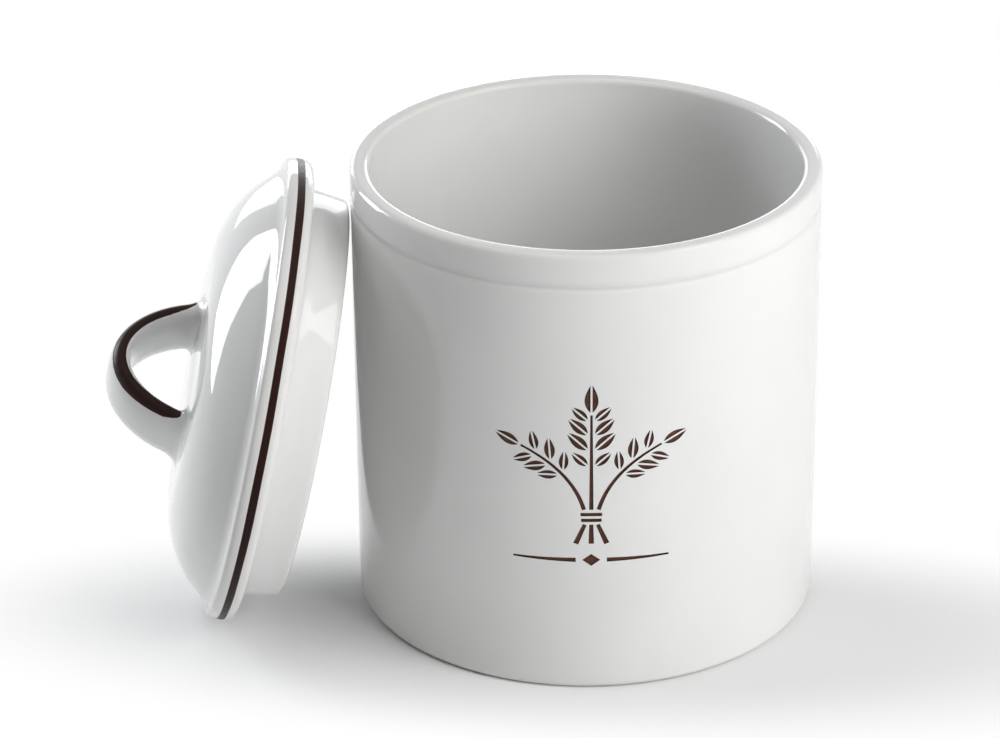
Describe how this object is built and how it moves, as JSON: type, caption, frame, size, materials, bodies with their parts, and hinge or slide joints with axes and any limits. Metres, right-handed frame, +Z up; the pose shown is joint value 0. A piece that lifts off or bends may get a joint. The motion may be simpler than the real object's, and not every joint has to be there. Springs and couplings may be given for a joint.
{
  "type": "storage canister",
  "caption": "Round glazed stoneware kitchen canister with a loose domed lid and strap handle, shown open with the lid leaning on the jar.",
  "frame": {"origin": "centre of the jar's foot ring, on the surface that it stands on", "axes": "+Z up along the jar's axis; the lid leans on the jar's -X side; the decorated front faces -Y"},
  "size_m": [0.2613, 0.1755, 0.17],
  "materials": {
    "white_glaze": "glossy warm white glaze over pale stoneware",
    "dark_glaze": "glossy dark brown glaze line"
  },
  "bodies": {
    "jar": {"jar": "white_glaze"},
    "lid": {"lid": "white_glaze", "lid_handle": "white_glaze", "rim_line": "dark_glaze", "handle_line_left": "dark_glaze", "handle_line_right": "dark_glaze"}
  },
  "joints": [
    {"name": "lid_lift", "type": "slide", "parent": "jar", "child": "lid", "axis": [0, 0, 1], "range_m": [0, 0.2]}
  ]
}
